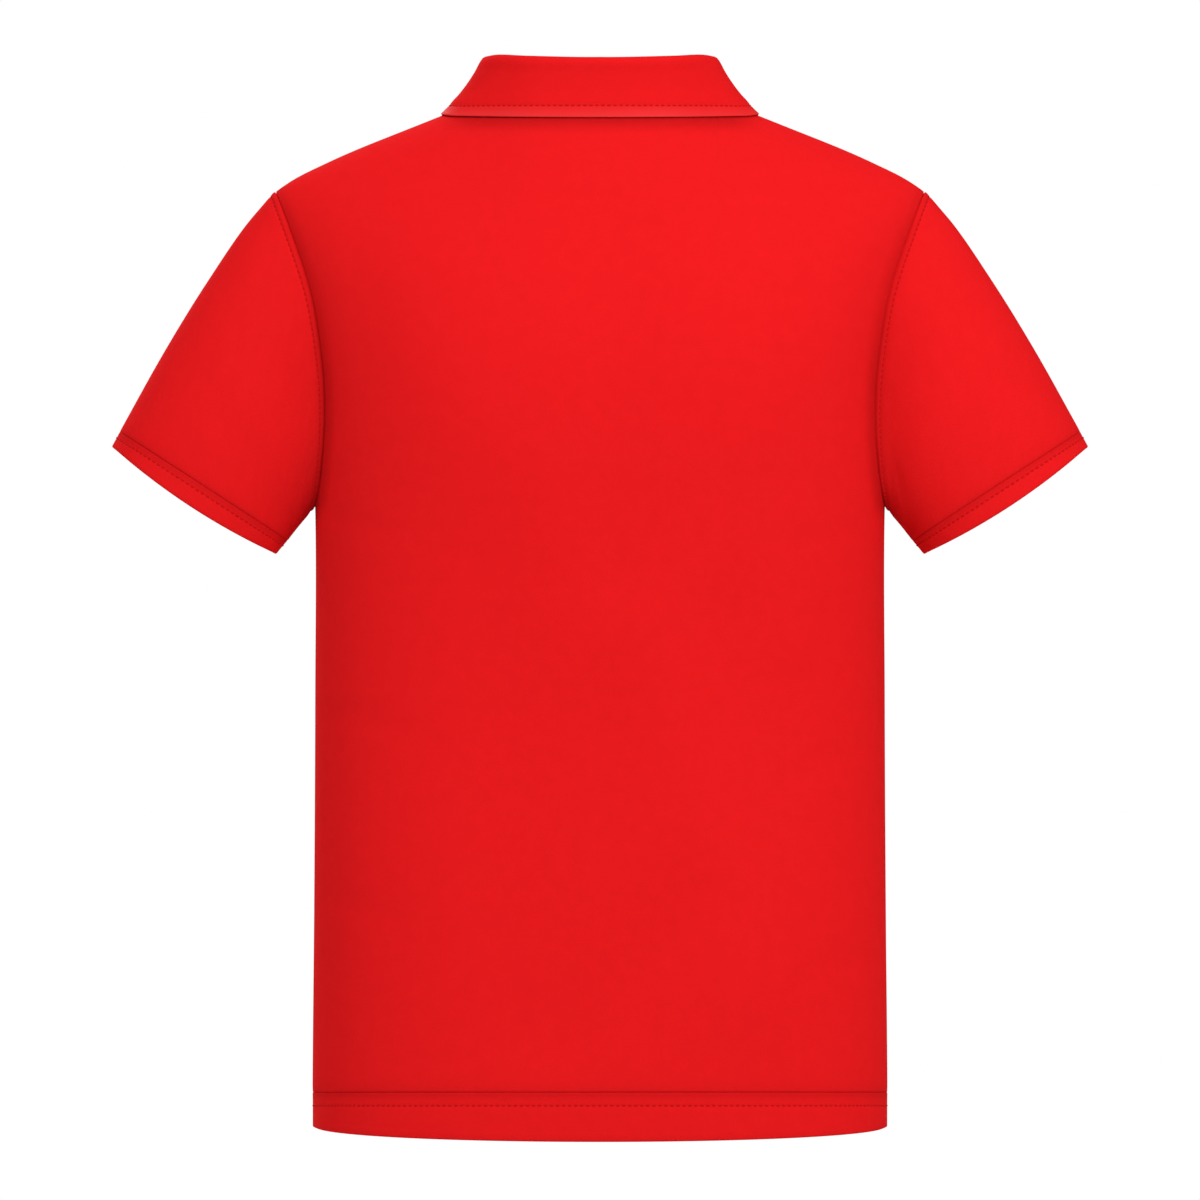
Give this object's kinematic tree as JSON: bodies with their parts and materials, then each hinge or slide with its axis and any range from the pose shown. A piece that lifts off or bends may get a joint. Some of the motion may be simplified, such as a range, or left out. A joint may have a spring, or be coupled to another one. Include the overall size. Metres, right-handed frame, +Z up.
{
  "type": "polo shirt",
  "caption": "Short-sleeved polo shirt with a turned-down collar and a buttoned placket, filled out as if worn by nobody.",
  "frame": {"origin": "middle of the neck opening, level with the points where the shoulder seams meet the collar, where a wearer's neck holds the shirt up", "axes": "+Z up along the body, the front faces -Y, the wearer's left is +X"},
  "size_m": [0.684, 0.2487, 0.761],
  "materials": {
    "red_cloth": "matt fine cotton knit",
    "red_button": "satin"
  },
  "bodies": {
    "root": {"back": "red_cloth", "front": "red_cloth", "sleeve_left": "red_cloth", "sleeve_right": "red_cloth", "collar_stand": "red_cloth", "collar_leaf": "red_cloth", "placket_under": "red_cloth", "placket_top": "red_cloth", "hem_band_back": "red_cloth", "hem_band_front": "red_cloth", "cuff_band_left": "red_cloth", "cuff_band_right": "red_cloth", "button_1": "red_button", "button_2": "red_button", "button_3": "red_button"}
  },
  "joints": []
}
